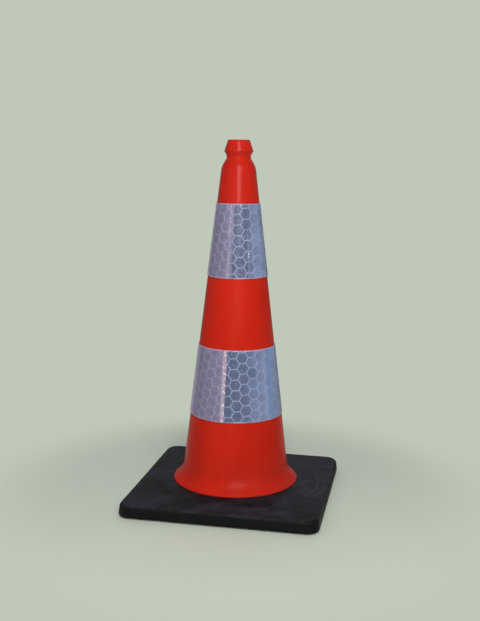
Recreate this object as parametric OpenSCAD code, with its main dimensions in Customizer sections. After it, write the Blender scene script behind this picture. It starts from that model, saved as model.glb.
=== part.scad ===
// Two-part traffic cone of the 500 mm class.
// A hollow red cone with a grip knob and a flared skirt is hooked into a heavy black base plate,
// and two slip-on reflective collars are held on its taper.
// Origin: centre of the base at ground level, +Z up, millimetres and degrees.

/* [Overall] */
// Height from the ground to the top of the knob
total_h = 500; // [480:1:540]

/* [Cone body] */
// Thickness of the moulded wall
wall = 3; // [2.4:0.1:3.6]
// Slope of the straight wall, measured from the axis
half_angle = 6.86; // [6.4:0.02:7.2]
// Outside radius where the shoulder meets the straight wall
shoulder_r = 23.3; // [22.6:0.1:24.4]
// Height of the sloping shoulder
shoulder_h = 12; // [10:0.5:15]
// Radius of the curve between shoulder and straight wall
shoulder_round = 20; // [8:1:24]

/* [Knob and neck] */
// Radius of the flat top of the knob
knob_top_r = 14.8; // [14:0.1:16]
// Radius of the knob at its widest, before its edge is rounded
knob_r = 19.9; // [18.5:0.1:21.5]
// Height of the knob's tapered upper part
knob_cap_h = 15.4; // [12:0.2:19]
// Height of the bevel under the knob
knob_under_h = 5.4; // [4:0.2:7]
// Radius of the rounded edge of the knob
knob_round = 1.8; // [0.8:0.1:2.6]
// Radius of the neck groove
neck_r = 16.5; // [15.6:0.1:17.6]
// Height of the neck groove
neck_h = 3.6; // [2.4:0.2:6]
// Radius of the socket bored through the knob
bore_r = 12; // [10:0.1:12.6]

/* [Skirt flare] */
// Outside radius of the lip that rests on the base
lip_r = 88; // [86:0.5:92]
// Height of the lip's upright edge
lip_t = 1.6; // [1.2:0.1:2.4]
// Width of the flat that the lip rests on
lip_land = 4; // [3:0.5:5]
// Slope of the skirt at the lip, measured from level
lip_slope = 42; // [34:1:46]
// Radius of the curve between straight wall and lip
flare_round = 28; // [18:1:32]

/* [Hooks] */
// Number of hooks that hold the cone in the base
hook_count = 6; // [4:1:8]
// Width of a hook along the rim
hook_w = 14; // [10:1:18]
// Thickness of a hook's leg
hook_t = 3; // [2.6:0.1:3.4]
// Reach of the barb under the base's ledge
hook_reach = 3.4; // [2.4:0.1:4]
// Height of the barb
hook_h = 6; // [5:0.5:7]
// Space between the centring ring and the hooks' legs
hook_space = 2.5; // [2:0.25:3.5]

/* [Base plate] */
// Side of the square base at its widest
base_w = 272; // [262:1:300]
// Radius of the base's corners in plan
base_corner_r = 18; // [12:1:26]
// Height of the base at its edge, feet included
base_edge_h = 18.5; // [16:0.5:21]
// Radius of the rounded top edge
base_edge_r = 4.5; // [3:0.5:5.5]
// How far the side wall leans in from bottom to top
base_draft = 1.5; // [0.5:0.25:3]
// Chamfer along the bottom edge
base_chamfer = 2; // [1:0.5:3]
// Outside radius of the raised crown round the cone
crown_r = 127; // [118:0.5:128]
// Width of the crown's sloping rim
crown_slope_w = 24; // [16:1:30]
// Height of the crown above the edge
crown_h = 5.2; // [4:0.1:6]
// Radius of the through hole that stacked cones pass
hole_r = 73.5; // [72:0.5:74]
// Lead-in at the hole's lower edge
hole_lead = 2; // [1:0.5:2.5]
// Wall of the ring that centres the skirt
ring_t = 3; // [2:0.1:3.4]
// Thickness of the ledge that the hooks catch
ledge_t = 9.5; // [8:0.5:10]

/* [Feet] */
// Height of the anti-slip feet
foot_h = 2.5; // [1.5:0.5:4]
// Length of a foot
foot_l = 44; // [30:1:52]
// Width of a foot
foot_w = 18; // [12:1:22]
// Distance from a foot's outer edge to the side of the base
foot_inset = 7; // [5:1:10]

/* [Reflective collars] */
// Height of the upper collar's top edge above the ground
upper_collar_top = 415; // [400:1:425]
// Height of the upper collar
upper_collar_h = 100; // [80:1:104]
// Height of the lower collar's top edge above the ground
lower_collar_top = 219; // [206:1:228]
// Height of the lower collar
lower_collar_h = 98; // [80:1:104]
// Thickness of the white backing sleeve
backing_t = 0.25; // [0.2:0.05:0.5]
// Air gap behind the lens film
film_gap = 0.1; // [0.05:0.05:0.2]
// Thickness of the lens film between its cells
film_t = 0.2; // [0.15:0.05:0.4]
// Height of a lens cell above the film
cell_h = 0.2; // [0.15:0.05:0.4]
// Distance between neighbouring cells of the honeycomb
cell_pitch = 14.4; // [12:0.1:18]
// Width of the weld lines between the cells
weld_w = 1.2; // [0.8:0.1:1.8]
// Width of the plain weld along a collar's top and bottom edge
edge_weld_w = 1.6; // [1:0.2:3]
// Width of the raised weld where two panels meet
seam_w = 2.4; // [1.6:0.2:4]
// Height of that weld above the cells
seam_rise = 0.1; // [0.05:0.05:0.2]
// Azimuth of the front seam, from +X
seam_azimuth = -99; // [-180:1:180]

/* [Fits] */
// Clearance between a hook and the base
hook_gap = 0.3; // [0.2:0.05:0.5]
// Clearance between the centring ring and the skirt
ring_gap = 0.4; // [0.3:0.1:0.8]
// Clearance between a collar and the cone
collar_gap = 0.2; // [0.15:0.05:0.3]

/* [Hidden] */
$fn = 96;

cone_red = [0.80, 0.12, 0.06];
base_black = [0.12, 0.12, 0.13];
backing_white = [0.85, 0.86, 0.88];
lens_grey = [0.55, 0.60, 0.70];

arc_steps = 8;         // segments of a large rounded corner
small_arc_steps = 3;   // segments of a small one
edge_steps = 6;        // segments of the base's rounded top edge
knob_edge_round = 1.2; // radius of the knob's sharper corners
neck_round = 1.6;      // radius where neck and shoulder meet
lip_round = 1;       // radius of the lip's upper edge
lip_foot_round = 0.6;  // radius of the lip's lower edge
over = 1;              // how far a cutting tool runs past the face it cuts

// Honeycomb of each panel: the turn from its seam to where the cells stand upright,
// and the shift of the grid across and along the sheet
upper_front_grid = [62.3, 0, 4.8];
upper_rear_grid = [57.3, -9.3, -6.9];
lower_front_grid = [62.3, -7.1, 3.9];
lower_rear_grid = [83.3, -8.9, 1.1];

// Levels of the cone, from the top down
knob_z = total_h - knob_cap_h;
neck_top_z = knob_z - knob_under_h;
neck_z = neck_top_z - neck_h;
shoulder_z = neck_z - shoulder_h;

// The straight wall is part of one imaginary cone, whose apex is at apex_z
apex_z = shoulder_z + shoulder_r / tan(half_angle);
function wall_r(z) = (apex_z - z) * tan(half_angle);

// Levels of the base
crown_z = base_edge_h + crown_h;
ledge_z = crown_z - ledge_t;
lip_z = crown_z + lip_t;

// Corner where the straight wall's line meets the lip's line, on the outside
flare_x = ((apex_z - lip_z) - lip_r * tan(lip_slope))
    / (1 / tan(half_angle) - tan(lip_slope));
flare_z = lip_z + (lip_r - flare_x) * tan(lip_slope);

// Curve of the flare, which may run along the lip only as far as the lip's rounded edge
flare_turn = (90 - lip_slope - half_angle) / 2;
lip_run = norm([lip_r - flare_x, flare_z - lip_z]);
lip_reach = lip_round / tan((90 + lip_slope) / 2);
flare_r = min(flare_round, (lip_run - 2.1 * lip_reach) / tan(flare_turn));
flare_centre = [flare_x, flare_z]
    + flare_r / cos(flare_turn) * [cos(flare_turn + half_angle), sin(flare_turn + half_angle)];

// The inside lies one wall further in: the same curve's centre, and the lip's line beyond it
inner_apex_z = apex_z - wall / sin(half_angle);
inner_lip_z = lip_z - wall / cos(lip_slope);
inner_flare_r = flare_r + wall;
inner_curve_end = flare_centre.x - inner_flare_r * sin(lip_slope);
function flare_under_z(x) =
    x > inner_curve_end ? inner_lip_z + (lip_r - x) * tan(lip_slope)
        : flare_centre.y - sqrt(pow(inner_flare_r, 2) - pow(flare_centre.x - x, 2));
land_x = lip_r - lip_land;

// Inside of the shoulder, one wall in from the outside
shoulder_run = shoulder_r - neck_r;
shoulder_len = norm([shoulder_run, shoulder_h]);
inner_shoulder_x = shoulder_r - wall;
inner_shoulder_z = inner_apex_z - inner_shoulder_x / tan(half_angle);
bore_end_z = inner_shoulder_z + (inner_shoulder_x - bore_r) * shoulder_h / shoulder_run;

// ---- Outline helpers ----

function unit(v) = v / norm(v);

// Arc that rounds corner b between its neighbours a and c; it never takes over half of an edge
function corner_arc(a, b, c, radius, steps) =
    let (u = unit(a - b), v = unit(c - b),
         half = acos(u * v) / 2,
         reach = min(radius / tan(half), 0.49 * norm(a - b), 0.49 * norm(c - b)),
         r = reach * tan(half),
         centre = b + unit(u + v) * r / sin(half),
         from = b + u * reach - centre,
         turn = (180 - 2 * half) * sign(cross(u, v)))
    [for (k = [0:steps])
        let (a_k = -turn * k / steps)
        centre + [from.x * cos(a_k) - from.y * sin(a_k), from.x * sin(a_k) + from.y * cos(a_k)]];

// Closed outline whose corners are [x, y, radius, steps]; a radius of 0 leaves a corner sharp
function rounded(corners) =
    let (n = len(corners))
    [for (i = [0:n - 1])
        let (a = corners[(i + n - 1) % n], b = corners[i], c = corners[(i + 1) % n])
        each b[2] == 0 ? [[b.x, b.y]]
            : corner_arc([a.x, a.y], [b.x, b.y], [c.x, c.y], b[2], b[3])];

// Square with rounded corners, exact in plan
module rounded_square(width, depth, radius) {
    square([width - 2 * radius, depth], center = true);
    square([width, depth - 2 * radius], center = true);
    for (sx = [-1, 1], sy = [-1, 1])
        translate([sx * (width / 2 - radius), sy * (depth / 2 - radius)])
            circle(r = radius);
}

// ---- Cone body ----

// Points along the flare's curve, from one angle round its centre to another
function flare_arc(radius, from, to) = [
    for (k = [0:arc_steps])
        let (a = from + (to - from) * k / arc_steps)
        [flare_centre.x + radius * cos(a), flare_centre.y + radius * sin(a), 0, 0]
];
wall_end = 180 + half_angle;
lip_end = 270 - lip_slope;
land_end = land_x > inner_curve_end ? lip_end
    : 360 - acos((land_x - flare_centre.x) / inner_flare_r);

// Half section of the moulded shell: down the outside, across the lip and up the inside
shell_outline = rounded([
    [knob_top_r, total_h, knob_edge_round, small_arc_steps],
    [knob_r, knob_z, knob_round, small_arc_steps],
    [neck_r, neck_top_z, knob_edge_round, small_arc_steps],
    [neck_r, neck_z, neck_round, small_arc_steps],
    [shoulder_r, shoulder_z, shoulder_round, small_arc_steps],
    each flare_arc(flare_r, wall_end, lip_end),
    [lip_r, lip_z, lip_round, small_arc_steps],
    [lip_r, crown_z, lip_foot_round, small_arc_steps],
    [land_x, crown_z, 0, 0],
    if (land_x > inner_curve_end) [land_x, flare_under_z(land_x), 0, 0],
    each flare_arc(inner_flare_r, land_end, wall_end),
    [inner_shoulder_x, inner_shoulder_z, shoulder_round - wall, small_arc_steps],
    [bore_r, bore_end_z, 0, 0],
    [bore_r, total_h, 0, 0]
]);

ring_top_z = flare_under_z(hole_r + ring_t) - ring_gap;

// One hook: a leg down through the base and a barb outwards under its ledge
hook_r = hole_r + ring_t + hook_space;
barb_z = ledge_z - hook_gap;
function hook_top_z(x) = flare_under_z(x) + wall / 3;
module hook() {
    translate([0, hook_w / 2, 0])
        rotate([90, 0, 0])
            linear_extrude(hook_w)
                polygon([
                    [hook_r, hook_top_z(hook_r)],
                    [hook_r, barb_z - hook_h],
                    [hook_r + hook_t, barb_z - hook_h],
                    [hook_r + hook_t + hook_reach, barb_z - hook_h / 3],
                    [hook_r + hook_t + hook_reach, barb_z],
                    [hook_r + hook_t, barb_z],
                    [hook_r + hook_t, hook_top_z(hook_r + hook_t)]
                ]);
}

module on_hook_circle() {
    for (i = [0:hook_count - 1])
        rotate([0, 0, (i + 0.5) * 360 / hook_count])
            children();
}

module cone_body() {
    color(cone_red)
        union() {
            rotate_extrude() polygon(shell_outline);
            on_hook_circle() hook();
        }
}

// ---- Base plate ----

// Outline of the plate's edge, from the chamfer up to the rounded top; x = 0 is the corners' axis
edge_outline = [
    [base_corner_r - base_chamfer, foot_h],
    [base_corner_r, foot_h + base_chamfer],
    for (k = [0:edge_steps])
        let (a = 90 * k / edge_steps)
        [base_corner_r - base_draft - base_edge_r * (1 - cos(a)),
         base_edge_h - base_edge_r * (1 - sin(a))]
];

// Slab with chamfered bottom edge, leaning sides and rounded top edge
module base_slab() {
    core = base_w / 2 - base_corner_r;
    last = len(edge_outline) - 1;
    section = [
        for (p = edge_outline) [core + p.x, p.y],
        for (k = [last:-1:0]) [-core - edge_outline[k].x, edge_outline[k].y]
    ];
    for (turn = [0, 90])
        rotate([90, 0, turn])
            linear_extrude(2 * core, center = true) polygon(section);
    for (sx = [-1, 1], sy = [-1, 1])
        translate([sx, sy, 0] * core)
            rotate_extrude() polygon([[0, foot_h], each edge_outline, [0, base_edge_h]]);
}

// Low crown with a sloping rim, and the ring that centres the skirt
module crown() {
    translate([0, 0, base_edge_h - over])
        cylinder(r1 = crown_r + over * crown_slope_w / crown_h, r2 = crown_r - crown_slope_w,
                 h = crown_h + over);
    translate([0, 0, crown_z - over])
        cylinder(r = hole_r + ring_t, h = ring_top_z - crown_z + over);
}

// Slot for a hook's leg, and the pocket under the ledge where its barb sits
module hook_slot() {
    slot_in = hook_r - hook_gap;
    slot_w = hook_w + 2 * hook_gap;
    translate([slot_in, -slot_w / 2, 0])
        cube([hook_t + 2 * hook_gap, slot_w, crown_z + over]);
    translate([slot_in, -slot_w / 2, 0])
        cube([hook_t + hook_reach + 3 * hook_gap, slot_w, ledge_z]);
}

// Anti-slip feet: one along each side's middle and one across each corner
module feet() {
    foot_round = foot_w / 4;
    foot_top = foot_h + over;
    side_at = base_w / 2 - foot_inset - foot_w / 2;
    corner_at = side_at - base_corner_r / 2;
    for (i = [0:3])
        rotate([0, 0, 90 * i]) {
            translate([side_at, 0, 0])
                linear_extrude(foot_top) rounded_square(foot_w, foot_l, foot_round);
            translate([corner_at, corner_at, 0])
                rotate([0, 0, 45])
                    linear_extrude(foot_top) rounded_square(foot_w, foot_l, foot_round);
        }
}

module base_plate() {
    color(base_black)
        difference() {
            union() {
                base_slab();
                crown();
                feet();
            }
            translate([0, 0, -over])
                cylinder(r = hole_r, h = ring_top_z + 2 * over);
            translate([0, 0, foot_h - over])
                cylinder(r1 = hole_r + hole_lead + over, r2 = hole_r, h = hole_lead + over);
            on_hook_circle() hook_slot();
        }
}

// ---- Reflective collars ----

// Layer between two offsets from the cone's wall, square to it, from z0 to z1,
// that runs anticlockwise through an angle from azimuth from
module wall_layer(z0, z1, inner, outer, from = 0, angle = 360) {
    function at(z, offset) = [wall_r(z) + offset / cos(half_angle), z];
    rotate([0, 0, from])
        rotate_extrude(angle = angle)
            polygon([at(z0, inner), at(z0, outer), at(z1, outer), at(z1, inner)]);
}

backing_out = collar_gap + backing_t;
film_in = backing_out + film_gap;
film_out = film_in + film_t;
cell_out = film_out + cell_h;
seam_out = cell_out + seam_rise;

// Prisms square to the wall at the centres of the honeycomb's cells.
// The film is flat when it is cut, so the grid is laid out on the unrolled cone about its apex:
// there a point at slant distance s and azimuth a lies at angle (a - upright) * sin(half_angle).
module cell_prisms(z0, z1, from, grid) {
    upright = from + grid[0];
    s0 = (apex_z - z1) / cos(half_angle);
    s1 = (apex_z - z0) / cos(half_angle);
    turn0 = -grid[0] * sin(half_angle);
    turn1 = (180 - grid[0]) * sin(half_angle);
    column_step = cell_pitch * cos(30);
    prism_r = (cell_pitch - weld_w) / 2 / cos(30);
    prism_l = 6;
    for (i = [floor(s1 * sin(turn0) / column_step) : ceil(s1 * sin(turn1) / column_step) + 1],
         j = [floor(s0 * cos(max(-turn0, turn1)) / cell_pitch) - 1 : ceil(s1 / cell_pitch)])
        let (u = i * column_step + grid[1],
             v = (j + (i % 2 == 0 ? 0 : 0.5)) * cell_pitch + grid[2],
             s = norm([u, v]),
             turn = atan2(u, v),
             margin = atan2(cell_pitch / 2, s))
        if (s > s0 - cell_pitch / 2 && s < s1 + cell_pitch / 2
            && turn > turn0 - margin && turn < turn1 + margin)
            rotate([0, 0, upright + turn / sin(half_angle)])
                translate([s * sin(half_angle), 0, apex_z - s * cos(half_angle)])
                    rotate([0, 90 - half_angle, 0])
                        rotate([0, 0, 30 - turn])
                            cylinder(r = prism_r, h = prism_l, center = true, $fn = 6);
}

// One half-turn panel of lens film: film, raised cells, plain edges and one raised seam weld
module lens_panel(top_z, height, from, grid) {
    bottom_z = top_z - height;
    root = film_out - film_t / 2;
    seam_turn = seam_w / wall_r(bottom_z) * 180 / PI;
    color(lens_grey)
        union() {
            wall_layer(bottom_z, top_z, film_in, film_out, from, 180);
            wall_layer(bottom_z, top_z, root, seam_out, from, seam_turn);
            intersection() {
                wall_layer(bottom_z + edge_weld_w, top_z - edge_weld_w, root, cell_out,
                           from + seam_turn / 2, 180 - seam_turn);
                cell_prisms(bottom_z, top_z, from, grid);
            }
        }
}

module backing_sleeve(top_z, height) {
    color(backing_white)
        wall_layer(top_z - height, top_z, collar_gap, backing_out);
}

module front_panel(top_z, height, grid) {
    lens_panel(top_z, height, seam_azimuth, grid);
}

module rear_panel(top_z, height, grid) {
    lens_panel(top_z, height, seam_azimuth + 180, grid);
}

base_plate();
cone_body();
backing_sleeve(upper_collar_top, upper_collar_h);  // upper_backing_sleeve
front_panel(upper_collar_top, upper_collar_h, upper_front_grid);  // upper_front_panel
rear_panel(upper_collar_top, upper_collar_h, upper_rear_grid);  // upper_rear_panel
backing_sleeve(lower_collar_top, lower_collar_h);  // lower_backing_sleeve
front_panel(lower_collar_top, lower_collar_h, lower_front_grid);  // lower_front_panel
rear_panel(lower_collar_top, lower_collar_h, lower_rear_grid);  // lower_rear_panel
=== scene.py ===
"""Two-part traffic cone with a grip knob, a rubber base plate and two reflective collars."""

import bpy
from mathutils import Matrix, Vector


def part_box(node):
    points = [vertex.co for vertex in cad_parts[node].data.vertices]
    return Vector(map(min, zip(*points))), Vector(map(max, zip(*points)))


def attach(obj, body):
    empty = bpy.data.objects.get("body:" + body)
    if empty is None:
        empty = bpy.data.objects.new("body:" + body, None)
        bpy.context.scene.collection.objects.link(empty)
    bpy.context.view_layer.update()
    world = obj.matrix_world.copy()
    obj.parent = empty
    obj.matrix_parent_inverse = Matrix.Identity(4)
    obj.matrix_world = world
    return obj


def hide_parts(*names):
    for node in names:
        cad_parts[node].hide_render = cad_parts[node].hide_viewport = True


bl_info = {
    "name": "Two-Part Traffic Cone",
    "version": (1, 0),
    "blender": (4, 5, 0),
    "location": "View3D > Sidebar > Traffic Cone",
    "description": "Builds a red cone hooked into a rubber base, with honeycomb lens collars",
    "category": "Add Mesh",
}

from math import atan2, ceil, copysign, cos, hypot, pi, radians, sin, sqrt, tan

import bmesh
import bpy
from mathutils import Matrix, Vector, noise

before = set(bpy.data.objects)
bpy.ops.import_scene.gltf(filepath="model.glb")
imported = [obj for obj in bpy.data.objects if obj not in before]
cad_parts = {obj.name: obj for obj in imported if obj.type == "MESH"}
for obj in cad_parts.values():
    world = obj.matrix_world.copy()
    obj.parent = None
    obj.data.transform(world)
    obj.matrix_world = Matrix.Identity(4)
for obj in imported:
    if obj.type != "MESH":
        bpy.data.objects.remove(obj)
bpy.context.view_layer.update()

CONE_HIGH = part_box("cone_body")[1]
BASE_LOW, BASE_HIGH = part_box("base_plate")
UPPER_LOW, UPPER_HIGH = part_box("upper_backing_sleeve")
LOWER_LOW, LOWER_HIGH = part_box("lower_backing_sleeve")

FULL_TURN = 2 * pi
TINY = 2e-5
UP = Vector((0, 0, 1))


# ---- Settings ----

def number(label, description, default, **more):
    """Number, plain unless more is said."""
    return bpy.props.FloatProperty(name=label, description=description, default=default, **more)


def length(label, description, default):
    """Size in metres, shown in the scene's units."""
    return number(label, description, default, min=0.0, unit="LENGTH", precision=5)


def angle(label, description, degrees):
    """Angle, shown in degrees."""
    return number(label, description, radians(degrees), subtype="ANGLE")


def linear(red, green, blue):
    """Linear colour of a paint chart's 0-255 values."""
    def channel(value):
        share = value / 255
        return share / 12.92 if share <= 0.04045 else ((share + 0.055) / 1.055) ** 2.4
    return channel(red), channel(green), channel(blue)


def colour(label, description, red, green, blue):
    """Colour, given by its paint chart values."""
    return bpy.props.FloatVectorProperty(
        name=label, description=description, default=linear(red, green, blue),
        subtype="COLOR", size=3, min=0.0, max=1.0)


class ConeSettings(bpy.types.PropertyGroup):
    """Sizes and colours of the moulded cone"""
    total_h: length("Height", "Ground to the top of the knob", CONE_HIGH.z)
    wall: length("Wall", "Moulded wall", 0.003)
    half_angle: angle("Half angle", "Slope of the wall", 6.86)
    shoulder_r: length("Shoulder radius", "Where shoulder meets wall", 0.0233)
    shoulder_h: length("Shoulder height", "Sloping shoulder", 0.012)
    shoulder_round: length("Shoulder rounding", "Curve of the shoulder", 0.020)
    knob_top_r: length("Knob top radius", "Flat top of the knob", 0.0148)
    knob_r: length("Knob radius", "Widest radius", 0.0199)
    knob_cap_h: length("Knob cap", "Upper taper of the knob", 0.0154)
    knob_under_h: length("Knob underside", "Bevel under the knob", 0.0054)
    knob_round: length("Knob rounding", "Its widest part", 0.0018)
    edge_round: length("Edge rounding", "Edges of the knob's top and foot", 0.0012)
    neck_r: length("Neck radius", "Groove under the knob", 0.0165)
    neck_h: length("Neck height", "Height of the groove", 0.0036)
    neck_round: length("Neck rounding", "Curve from neck to shoulder", 0.0016)
    bore_r: length("Socket radius", "Socket through the knob", 0.012)
    bore_round: length("Socket rounding", "Rounded mouth of the socket", 0.0006)
    lip_r: length("Lip radius", "Outside of the lip", CONE_HIGH.x)
    lip_t: length("Lip edge", "Upright edge of the lip", 0.0016)
    lip_land: length("Lip land", "Flat that the lip rests on", 0.004)
    lip_round: length("Lip rounding", "Upper edge of the lip", 0.0010)
    lip_foot_round: length("Lip foot rounding", "Lower edge of the lip", 0.0006)
    lip_slope: angle("Lip slope", "Slope of the skirt at the lip", 42)
    flare_round: length("Flare rounding", "Curve between wall and lip", 0.028)
    hook_count: bpy.props.IntProperty(
        name="Hooks", description="Hooks that hold the cone in its base", default=6, min=1)
    hook_w: length("Hook width", "Width along the rim", 0.014)
    hook_t: length("Hook thickness", "Thickness of the leg", 0.003)
    hook_reach: length("Hook reach", "Barb under the ledge", 0.0034)
    hook_h: length("Hook height", "Height of the barb", 0.006)
    hook_space: length("Hook space", "Centring ring to hooks", 0.0025)
    hook_gap: length("Hook gap", "Clearance in the base", 0.0003)
    red: colour("Red", "Moulded plastic", 208, 40, 24)
    # Deep red fills the upright cloud patches: partly the plastic's uneven tone, partly painted shade and
    # sheen in upright bands.
    deep_red: colour("Deep red", "Plastic in its darker patches", 186, 27, 15)
    dust: colour("Dust", "Road dust on the plastic", 196, 150, 132)


class BaseSettings(bpy.types.PropertyGroup):
    """Sizes and colours of the rubber base"""
    width: length("Width", "Side of the square base", BASE_HIGH.x - BASE_LOW.x)
    corner_r: length("Corner radius", "Corners in plan", 0.018)
    edge_h: length("Edge height", "Height at the edge", 0.0185)
    edge_r: length("Edge rounding", "Rounded top edge", 0.0045)
    draft: length("Draft", "How far the sides lean in", 0.0015)
    chamfer: length("Chamfer", "Chamfer of the bottom edge", 0.002)
    crown_r: length("Crown radius", "Outside of the raised crown", 0.127)
    crown_slope_w: length("Crown slope", "Width of its sloping rim", 0.024)
    crown_h: length("Crown height", "Height above the edge", 0.0052)
    hole_r: length("Hole radius", "Hole that stacked cones pass", 0.0735)
    hole_lead: length("Hole lead-in", "Lower edge of the hole", 0.002)
    ring_t: length("Ring wall", "Ring that centres the skirt", 0.003)
    ledge_t: length("Ledge", "Ledge that the hooks catch", 0.0095)
    foot_h: length("Foot height", "Height of the feet", 0.0025)
    foot_l: length("Foot length", "Length of a foot", 0.044)
    foot_w: length("Foot width", "Width of a foot", 0.018)
    foot_inset: length("Foot inset", "Foot to the side of the base", 0.007)
    sag: length("Unevenness", "How far the cast edges wander", 0.0005)
    black: colour("Black", "Recycled rubber", 16, 16, 18)
    bloom: colour("Bloom", "Grey bloom on old rubber", 50, 52, 62)
    dust: colour("Dust", "Pale dust and dried stains", 142, 140, 134)


class CollarSettings(bpy.types.PropertyGroup):
    """Sizes and colours of the reflective collars"""
    upper_top: length("Upper top", "Upper collar's top edge", UPPER_HIGH.z)
    upper_h: length("Upper height", "Upper collar's height", UPPER_HIGH.z - UPPER_LOW.z)
    lower_top: length("Lower top", "Lower collar's top edge", LOWER_HIGH.z)
    lower_h: length("Lower height", "Lower collar's height", LOWER_HIGH.z - LOWER_LOW.z)
    film_out: length("Film surface", "Cone wall to the film's outer face", 0.00075)
    film_t: length("Film thickness", "Lens film", 0.0002)
    cell_h: length("Cell height", "Cell above the film", 0.0002)
    seam_rise: length("Seam rise", "Seam above the cells", 0.0001)
    cell_pitch: length("Cell pitch", "Distance between cells", 0.0144)
    weld_w: length("Weld width", "Lines between cells", 0.0012)
    edge_weld_w: length("Edge weld", "Weld along top and bottom", 0.0016)
    seam_w: length("Seam width", "Weld where panels meet", 0.0024)
    step_w: length("Step width", "Steps up to cell and seam", 0.0003)
    seam_azimuth: angle("Seam azimuth", "Where the front seam is", -99)
    cell: colour("Cell", "Prisms away from the light", 79, 91, 130)
    weld: colour("Weld", "Welded lines between the cells", 156, 172, 208)
    # Lilac beside the seam: partly the film's own tint, partly painted iridescent reflection.
    lilac: colour("Lilac", "Prisms beside the seam", 140, 130, 164)
    seam: colour("Seam", "Seam and edge welds", 184, 174, 206)
    strip: colour("Strip", "Strip beside the lower seam", 200, 168, 196)
    # Painted reflection: a blue line of light down the lower collar.
    painted_streak: colour("Streak", "Streak of the lower collar", 112, 148, 206)
    side: colour("Side", "Prisms turned to the light", 146, 165, 212)
    # Painted highlight: glinting prisms.
    painted_gleam: colour("Gleam", "Sparkling prisms", 244, 236, 240)
    # Painted reflection: pale glare of the film seen at a grazing angle, left of the seam.
    grazing_glare: colour("Edge on", "Pale strip left of the seam", 233, 214, 250)
    white: colour("Backing", "White sheet behind the film", 214, 216, 222)


class StageSettings(bpy.types.PropertyGroup):
    """Camera, lamps and background"""
    camera_azimuth: angle("Camera azimuth", "Camera direction from +X", -78.7)
    camera_distance: length("Camera distance", "Level distance from the axis", 1.2709)
    camera_height: length("Camera height", "Height above the ground", 0.4815)
    camera_pitch: angle("Camera pitch", "How far the camera looks down", 9.66)
    camera_roll: angle("Camera roll", "Tilt of the horizon", 0.613)
    lens_mm: number("Lens", "Focal length, mm", 53.47)
    side_shift: number("Shift", "Framing of the object to the left", 0.00457)
    sage: colour("Backdrop", "Pale sage backdrop", 192, 200, 185)
    ground: colour("Floor", "Floor that is sage once lit", 220, 229, 213)
    key_w: number("Key", "Key lamp's power, W", 14)
    fill_w: number("Fill", "Fill lamp's power, W", 0.5)
    back_w: number("Back", "Back lamp's power, W", 5)
    glint_w: number("Glint", "Small lamp's power, W", 2.4)
    sky: number("Sky", "Strength of the room light", 0.27)


# ---- Shader helpers ----

class Value:
    """Socket whose sums, products and powers add Math nodes."""

    def __init__(self, finish, socket):
        self.finish = finish
        self.socket = socket

    def math(self, operation, *terms):
        return self.finish.node("ShaderNodeMath", {"operation": operation}, dict(enumerate(terms)))

    def __abs__(self):
        return self.math("ABSOLUTE", self)


def arithmetic(operation, reflected):
    """Method that adds the Math node of an operator."""
    if reflected:
        return lambda value, other: value.math(operation, other, value)
    return lambda value, other: value.math(operation, value, other)


for sign, operation in (("add", "ADD"), ("sub", "SUBTRACT"), ("mul", "MULTIPLY"),
                        ("truediv", "DIVIDE"), ("pow", "POWER")):
    setattr(Value, f"__{sign}__", arithmetic(operation, False))
    setattr(Value, f"__r{sign}__", arithmetic(operation, True))


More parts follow.
